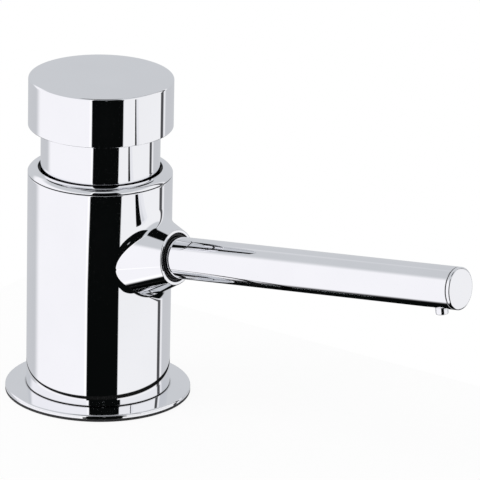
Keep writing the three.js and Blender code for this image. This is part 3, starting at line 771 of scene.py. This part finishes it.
def end_plug_shape():
    """Spigot in the tube's end with its closing disc, and a blind hole for the nozzle."""
    window, steps, play, end_play = 3.0, 12, 0.2, 0.25
    low, high = NOZZLE_AT - window, NOZZLE_AT + window
    edge, soft = 0.6, 0.12
    return holed_tube([
        *straights((0, LINE_END), (LINE_SOCKET, LINE_END), (LINE_SOCKET, PLUG_START),
                   (PLUG_SPIGOT, PLUG_START), (PLUG_SPIGOT, low)),
        line((PLUG_SPIGOT, low), (PLUG_SPIGOT, high), steps),
        *straights((PLUG_SPIGOT, high), (PLUG_SPIGOT, DISC_FOOT), (SPOUT_RADIUS - soft, DISC_FOOT)),
        arc((SPOUT_RADIUS - soft, DISC_FOOT + soft), soft, -90, 0, 4),
        line((SPOUT_RADIUS, DISC_FOOT + soft), (SPOUT_RADIUS, SPOUT_END - edge)),
        arc((SPOUT_RADIUS - edge, SPOUT_END - edge), edge, 0, 90, 10),
        line((SPOUT_RADIUS - edge, SPOUT_END), (0, SPOUT_END)),
    ], half=16, steps=steps, wall_run=4, hole=NOZZLE_RADIUS + play, depth_end=NOZZLE_START - end_play)


make("spout_turned", spout_tube_shape(), "housing", "spout_tube", "chrome", SPOUT_PLACING)
make("spout_end_turned", end_plug_shape(), "housing", "spout_end_plug", "chrome", SPOUT_PLACING)

NOZZLE_PLACING = (SPOUT_PLACING @ Matrix.Translation((0, 0, NOZZLE_AT))
                  @ Matrix.Rotation(math.pi / 2, 4, "Y"))
ring_piece("nozzle_turned", [
    (NOZZLE_BORE, NOZZLE_START), (NOZZLE_RADIUS, NOZZLE_START),
    (NOZZLE_RADIUS, NOZZLE_TIP), (NOZZLE_BORE, NOZZLE_TIP)],
    [0, 0, 0.3, 0.2], "housing", "spout_nozzle", "chrome", NOZZLE_PLACING, sides=96)

ring_piece("spout_seal_moulded", [
    (SPOUT_RADIUS + SEAL_PLAY, SEAL_START), (SEAL_OUTER - SEAL_PLAY, SEAL_START),
    (SEAL_OUTER - SEAL_PLAY, SEAL_TOP), (SPOUT_RADIUS + SEAL_PLAY, SEAL_TOP)],
    [0, 0, 0.3, 0.15], "housing", "spout_seal_ring", "black_rubber", SPOUT_PLACING, TUBE_SIDES)


# Under the worktop

def grid_shape(loops):
    """A ring-like solid through closed loops of points, joined in order and back to the first."""
    shape = Shape()
    table = [[shape.point(place) for place in loop] for loop in loops]
    sides = len(table[0])
    for k, low in enumerate(table):
        high = table[(k + 1) % len(table)]
        for i in range(sides):
            j = (i + 1) % sides
            shape.faces.append([low[i], low[j], high[j], high[i]])
    return shape


def slab_shape(outline, low, high, edge, hole):
    """A plate with rounded edges and a round hole; outline gives its loop at an inset and a height."""
    steps = 4
    quarter = [math.pi / 2 * k / steps for k in range(steps + 1)]
    loops = [outline(edge * (1 - math.sin(angle)), low + edge * (1 - math.cos(angle)))
             for angle in quarter]
    loops += [outline(edge * (1 - math.cos(angle)), high - edge * (1 - math.sin(angle)))
              for angle in quarter]
    bore = [Vector(point[:2]).normalized() * hole for point in loops[0]]
    loops += [[(place.x, place.y, height) for place in bore] for height in (high, low)]
    return grid_shape(loops)


def smooth_step(value):
    value = min(max(value, 0), 1)
    return value * value * (3 - 2 * value)


def circle(radius, height, sides):
    return [tuple(on_cylinder(radius, 2 * math.pi * i / sides, height)) for i in range(sides)]


def shank_shape():
    """Hollow shank with one wound thread that runs out below its plain top."""
    sides, step, chamfer = 96, 0.25, 0.4
    run_in_height, run_out_height = 1.5, 1.6
    flank_slope, root_share = 1.5, 0.2
    core = SHANK_RADIUS - THREAD_DEPTH
    loops = [circle(SHANK_BORE, SHANK_TOP, sides), circle(SHANK_BORE, SHANK_FOOT, sides),
             circle(core - chamfer, SHANK_FOOT, sides)]
    rows = round((THREAD_TOP + run_out_height - SHANK_FOOT) / step)
    for row in range(1, rows + 1):
        height = SHANK_FOOT + row * step
        loop = []
        for i in range(sides):
            phase = ((height - SHANK_FOOT) / THREAD_PITCH - i / sides) % 1
            crest = min(max(flank_slope * (1 - abs(2 * phase - 1)) - root_share, 0), 1)
            run_in = smooth_step((height - SHANK_FOOT) / run_in_height)
            run_out = smooth_step((height - THREAD_TOP) / run_out_height)
            depth = THREAD_DEPTH * (crest * run_in + (1 - crest) * run_out)
            loop.append(tuple(on_cylinder(core + depth, 2 * math.pi * i / sides, height)))
        loops.append(loop)
    loops += [circle(SHANK_RADIUS, SHANK_TOP - chamfer, sides),
              circle(SHANK_RADIUS - chamfer, SHANK_TOP, sides)]
    return grid_shape(loops)


make("shank_threaded", shank_shape(), "housing", "threaded_shank", "black_plastic")

# One side of a lug in degrees, finest where the lug's flank leaves its rounded tip
LUG_ANGLES = [0, 2.5, 5, 7, 8.5, 9.5, 10.2, 10.6, 10.9, 11.2, 11.6, 12.1, 12.6, 13, 13.4, 13.9,
              14.6, 15.6, 17, 19, 22, 25.5, 29, 33, 37, 41]


def soft_least(a, b, blend):
    """The lesser of two values, with a smooth change from one to the other."""
    near = max(blend - abs(a - b), 0) / blend
    return min(a, b) - near * near * blend / 4


def nut_loop(inset, height):
    """Outline of the nut: round hub with four rounded lugs, drawn in by inset."""
    hub, reach, half_width = NUT_HUB - inset, NUT_REACH - inset, NUT_LUG / 2 - inset
    tip_blend, root_blend, least_sine = 2.4, 1.6, 0.01
    turns = LUG_ANGLES + [45] + [90 - angle for angle in reversed(LUG_ANGLES[1:])]
    loop = []
    for lug in range(4):
        for turn in turns:
            off = math.radians(min(turn, 90 - turn))
            side = half_width / max(math.sin(off), least_sine)
            lug_radius = soft_least(reach / math.cos(off), side, tip_blend)
            radius = min(-soft_least(-hub, -lug_radius, root_blend), reach)
            loop.append(tuple(on_cylinder(radius, math.radians(90 * lug + turn), height)))
    return loop


nut_shape = slab_shape(nut_loop, low=NUT_FOOT, high=METAL_FOOT, edge=0.7, hole=COLLAR_BORE)
make("nut_moulded", nut_shape, "clamp_nut", "mounting_nut", "black_plastic")

ring_piece("rubber_washer_cut", [
    (COLLAR_BORE, RUBBER_FOOT), (WASHER_RADIUS, RUBBER_FOOT),
    (WASHER_RADIUS, DECK_FOOT), (COLLAR_BORE, DECK_FOOT)],
    [0.2, 0.35, 0.35, 0.2], "clamp_washers", "rubber_washer", "black_rubber")

ring_piece("metal_washer_stamped", [
    (COLLAR_BORE, METAL_FOOT), (WASHER_RADIUS, METAL_FOOT),
    (WASHER_RADIUS, RUBBER_FOOT), (COLLAR_BORE, RUBBER_FOOT)],
    [0.1, 0.3, 0.15, 0.1], "clamp_washers", "metal_washer", "steel")


def bottle_shape():
    """Blown bottle with a bent shoulder, and the ledge for its seal inside the neck."""
    bore, inside = SHANK_RADIUS + FIT, BOTTLE_RADIUS - BOTTLE_WALL
    bend_radius, bend_height = 30.66, -64.59
    ledge_rise, ledge_width, ledge_depth, throat_drop = 0.5, 2.6, 2, 3.6
    ledge = BOTTLE_NECK_FOOT + ledge_rise
    return lathe(rounded([
        (0, BOTTLE_FLOOR), (BOTTLE_RADIUS, BOTTLE_FLOOR), (BOTTLE_RADIUS, BOTTLE_SHOULDER),
        (bend_radius, bend_height), (BOTTLE_NECK, BOTTLE_NECK_FOOT), (BOTTLE_NECK, BOTTLE_TOP),
        (bore, BOTTLE_TOP), (bore, ledge), (bore - ledge_width, ledge),
        (bore - ledge_width, ledge - ledge_depth), (bore, BOTTLE_NECK_FOOT - throat_drop),
        (bend_radius - BOTTLE_WALL, bend_height - BOTTLE_WALL), (inside, BOTTLE_SHOULDER - BOTTLE_WALL),
        (inside, BOTTLE_FLOOR + BOTTLE_WALL), (0, BOTTLE_FLOOR + BOTTLE_WALL),
    ], [0, 5, 6, 5, 1.2, 0.5, 0.3, 0, 0, 0, 0, 3, 4, 3.4, 0]), sides=192)[0]


make("bottle_blown", bottle_shape(), "housing", "bottle", "bottle_plastic")


def spring_shape():
    """Open coils of round wire in one unbroken sweep, closed flat at both ends."""
    per_coil, sides = 40, 12
    steps = SPRING_COILS * per_coil
    shape = Shape()
    loops = []
    for i in range(steps + 1):
        angle = 2 * math.pi * i / per_coil
        height = SPRING_FOOT + SPRING_WIRE + (SPRING_TOP - SPRING_FOOT - 2 * SPRING_WIRE) * i / steps
        out = Vector((math.cos(angle), math.sin(angle), 0))
        centre = out * SPRING_RADIUS + Vector((0, 0, height))
        loops.append([shape.point(centre + out * SPRING_WIRE * math.cos(2 * math.pi * k / sides)
                                  + Vector((0, 0, SPRING_WIRE * math.sin(2 * math.pi * k / sides))))
                      for k in range(sides)])
    for low, high in zip(loops, loops[1:]):
        for k in range(sides):
            m = (k + 1) % sides
            shape.faces.append([low[m], low[k], high[k], high[m]])
    shape.faces.append(list(loops[0]))
    shape.faces.append(list(reversed(loops[-1])))
    return shape


spring = make("spring_wound", spring_shape(), "housing", "return_spring", "steel")
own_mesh(spring)


# Worktop and studio

def ray_is(tree, *kinds):
    """One for rays of the kinds that are named as the Light Path node names them, otherwise zero."""
    light_path = tree.nodes.new("ShaderNodeLightPath")
    total = 0
    for kind in kinds:
        total = calc(tree, "ADD", total, light_path.outputs[kind])
    return calc(tree, "MINIMUM", total, 1)


def build_studio():
    """White for the camera; for metal, pale panels beside a dark gap, and dark overhead and underfoot.

    Sides and rises are in degrees. Side zero is towards the photo's camera, and sides grow to its right.
    """
    world = bpy.data.worlds.new("studio")
    scene.world = world
    world.use_nodes = True
    tree = world.node_tree
    tree.nodes.clear()
    direction = tree.nodes.new("ShaderNodeTexCoord").outputs["Generated"]
    turned = tree.nodes.new("ShaderNodeVectorRotate")
    turned.rotation_type = "Z_AXIS"
    turned.inputs["Angle"].default_value = math.radians(90 - CAMERA_AZIMUTH)
    tree.links.new(direction, turned.inputs["Vector"])
    parts = tree.nodes.new("ShaderNodeSeparateXYZ")
    tree.links.new(turned.outputs["Vector"], parts.inputs["Vector"])
    degrees = 180 / math.pi
    side = calc(tree, "MULTIPLY", calc(tree, "ARCTAN2", parts.outputs["Y"], parts.outputs["X"]), degrees)
    rise = calc(tree, "MULTIPLY", calc(tree, "ARCSINE", parts.outputs["Z"]), degrees)

    def below(value, low, high):
        return calc(tree, "SUBTRACT", 1, smooth_rise(tree, value, low, high))

    def band(value, low, high, soft):
        start = smooth_rise(tree, value, calc(tree, "SUBTRACT", low, soft), calc(tree, "ADD", low, soft))
        stop = below(value, calc(tree, "SUBTRACT", high, soft), calc(tree, "ADD", high, soft))
        return calc(tree, "MULTIPLY", start, stop)

    # Sides at which things meet, and rises between which each fade runs
    gap_left, gap_right, stripe_left = -14.0, 36.0, -17.5
    right_end, shadow_left, shadow_right, glow_right = 114.0, 109.5, 117.5, 123.0
    pit_fade, floor_fade, wall_fade = (-64.0, -57.0), (-32.0, -27.0), (-20.0, 10.0)
    panel_fade, gap_fade, ceiling_fade = (34.0, 46.0), (55.0, 59.0), (72.0, 76.0)
    edge_soft, stripe_soft, shadow_soft, glow_soft = 0.8, 0.6, 1.0, 2.0
    dark, white = (0.0025, 0.003, 0.003), (1.0, 0.99, 1.02)
    stripe, right_white = (1.12, 1.11, 1.12), (0.94, 0.94, 0.955)
    shadow, glow = (0.08, 0.08, 0.085), (0.9, 0.9, 0.92)
    wall_low, wall_high = (0.595, 0.605, 0.63), (0.62, 0.635, 0.66)
    wall = blended(tree, smooth_rise(tree, rise, *wall_fade), wall_low, wall_high)
    high_up = smooth_rise(tree, rise, *panel_fade)

    # The left panel reaches further back the higher it is
    left_foot, climb_share, fade_before, fade_after = -116, 0.95, 10, 7
    climb = calc(tree, "MULTIPLY", calc(tree, "MAXIMUM", rise, 0), climb_share)
    left_end = calc(tree, "SUBTRACT", left_foot, climb)
    left_start = calc(tree, "SUBTRACT", left_end, fade_before)
    left_full = calc(tree, "ADD", left_end, fade_after)

    # About 19 to 24 degrees down the edges are shifted, which leans the reflections near the foot
    lean, lean_starts, lean_ends = 4.3, (18.8, 20.6), (22.0, 24.0)
    fall = calc(tree, "MULTIPLY", rise, -1)
    bent = calc(tree, "MULTIPLY", smooth_rise(tree, fall, *lean_starts), below(fall, *lean_ends))
    leaned = calc(tree, "ADD", side, calc(tree, "MULTIPLY", bent, lean))

    colour = blended(tree, smooth_rise(tree, rise, *floor_fade), dark, wall)
    panel = blended(tree, smooth_rise(tree, side, left_start, left_full), colour, white)
    panel = blended(tree, high_up, panel, wall)
    colour = blended(tree, band(leaned, left_start, gap_left, edge_soft), colour, panel)
    colour = blended(tree, band(leaned, stripe_left, gap_left, stripe_soft), colour, stripe)
    gap = calc(tree, "MULTIPLY", band(leaned, gap_left, gap_right, edge_soft), below(rise, *gap_fade))
    colour = blended(tree, gap, colour, dark)

    # A pale patch in the gap, which the cap's flat top shows when it is seen from behind
    patch_left, patch_right, patch_low, patch_high = 6.8, 10.2, 8.5, 13.6
    patch = calc(tree, "MULTIPLY", band(side, patch_left, patch_right, 0.5),
                 band(rise, patch_low, patch_high, 0.3))
    colour = blended(tree, patch, colour, wall)

    panel = blended(tree, high_up, right_white, wall)
    colour = blended(tree, band(leaned, gap_right, right_end, edge_soft), colour, panel)
    colour = blended(tree, band(side, shadow_left, shadow_right, shadow_soft), colour, shadow)
    colour = blended(tree, band(side, shadow_right, glow_right, glow_soft), colour, glow)
    colour = blended(tree, smooth_rise(tree, rise, *ceiling_fade), colour, dark)
    colour = blended(tree, below(rise, *pit_fade), colour, dark)

    soft_light = (0.80, 0.80, 0.80)
    colour = blended(tree, ray_is(tree, "Is Glossy Ray", "Is Transmission Ray"), soft_light, colour)
    colour = blended(tree, ray_is(tree, "Is Camera Ray"), colour, (1, 1, 1))
    background = tree.nodes.new("ShaderNodeBackground")
    output = tree.nodes.new("ShaderNodeOutputWorld")
    tree.links.new(colour, background.inputs["Color"])
    tree.links.new(background.outputs["Background"], output.inputs["Surface"])


def build_key_light():
    """One soft lamp from the upper left, which reflections don't show."""
    data = bpy.data.lights.new("key", "AREA")
    data.shape = "DISK"
    data.size = 0.6
    data.energy = 2.6
    key = bpy.data.objects.new("key", data)
    scene.collection.objects.link(key)
    place = Vector((-0.55, -0.55, 1.0))
    key.location = place
    key.rotation_euler = (-place).to_track_quat("-Z", "Y").to_euler()
    key.visible_glossy = False
    key.visible_camera = False


def beyond_circle(tree, coords, centre, radius):
    """One outside a circle on the worktop whose centre lies so far along X, otherwise zero."""
    flat = tree.nodes.new("ShaderNodeMapping")
    flat.inputs["Scale"].default_value = (1, 1, 0)
    away = tree.nodes.new("ShaderNodeVectorMath")
    away.operation = "DISTANCE"
    away.inputs[1].default_value = (centre * MM, 0, 0)
    tree.links.new(coords, flat.inputs["Vector"])
    tree.links.new(flat.outputs["Vector"], away.inputs[0])
    soft = 0.25
    return smooth_rise(tree, away.outputs["Value"], (radius - soft) * MM, (radius + soft) * MM)


def painted_shadow_ring_in_mirrors(tree, coords):
    """What metal shows of the worktop: a painted shadow ring round the foot, and the studio beyond it.
    """
    inner, outer, outer_shift = 32.7, 34.8, 1.0
    # A dark ring that only reflections see: a painted contact shadow on the worktop round the foot.
    ring = calc(tree, "MULTIPLY", beyond_circle(tree, coords, 0, inner),
                calc(tree, "SUBTRACT", 1, beyond_circle(tree, coords, outer_shift, outer)))
    clear = tree.nodes.new("ShaderNodeBsdfTransparent")
    dark = tree.nodes.new("ShaderNodeBsdfDiffuse")
    dark.inputs["Color"].default_value = (0.01, 0.01, 0.01, 1)
    return mixed(tree, ring, clear.outputs["BSDF"], dark.outputs["BSDF"])


def worktop_finish():
    """Pale worktop that keeps the object's shadow, with painted light on its top; metal sees a painted
    shadow ring.
    """
    finish, tree, shader, coords = new_finish("worktop_finish")
    shader.inputs["Roughness"].default_value = 0.6
    shader.inputs["Specular IOR Level"].default_value = 0.0
    grain = noise(tree, coords, scale=300, detail=4)
    tree.links.new(ramp(tree, grain, [(0.3, (0.93, 0.93, 0.93)), (0.7, (0.96, 0.96, 0.96))]),
                   shader.inputs["Base Color"])
    # The top glows more than the sides: painted light on the top, so the sides read as shaded.
    parts = tree.nodes.new("ShaderNodeSeparateXYZ")
    tree.links.new(tree.nodes.new("ShaderNodeNewGeometry").outputs["Normal"], parts.inputs["Vector"])
    sloped, level_enough = 0.6, 0.95
    level_share = smooth_rise(tree, parts.outputs["Z"], sloped, level_enough)
    edge_glow, painted_top_light = 0.3, 0.6
    glow_share = calc(tree, "ADD", edge_glow, calc(tree, "MULTIPLY", painted_top_light, level_share))
    seen = ray_is(tree, "Is Camera Ray", "Is Glossy Ray", "Is Transmission Ray")
    glow = tree.nodes.new("ShaderNodeEmission")
    pale = mixed(tree, calc(tree, "MULTIPLY", seen, glow_share), shader.outputs["BSDF"],
                 glow.outputs["Emission"])
    surface = mixed(tree, ray_is(tree, "Is Glossy Ray"), pale, painted_shadow_ring_in_mirrors(tree, coords))
    tree.links.new(surface, tree.nodes["Material Output"].inputs["Surface"])
    return finish


def build_worktop():
    """A slab of worktop with rounded corners and the hole through which the shank goes."""
    west, east, south, north, corner, per_corner = -75, 145, -88, 72, 12, 36
    centres = [(east - corner, north - corner), (west + corner, north - corner),
               (west + corner, south + corner), (east - corner, south + corner)]

    def outline(inset, height):
        points = []
        for quarter, (x, y) in enumerate(centres):
            for k in range(per_corner):
                angle = math.pi / 2 * (quarter + k / (per_corner - 1))
                points.append((x + (corner - inset) * math.cos(angle),
                               y + (corner - inset) * math.sin(angle), height))
        return points

    shape = slab_shape(outline, low=-19.9, high=-0.1, edge=1.5, hole=16.5)
    slab = add_object("worktop", shape, worktop_finish(), IN_PLACE)


# Reflections pass through the worktop beyond its painted shadow ring, so what lies under it is kept out
# of them
for hidden in ("shank_threaded", "nut_moulded", "rubber_washer_cut", "metal_washer_stamped",
               "bottle_blown"):
    bpy.data.objects[hidden].visible_glossy = False

build_studio()
build_key_light()
build_worktop()
scene.view_settings.view_transform = "Standard"
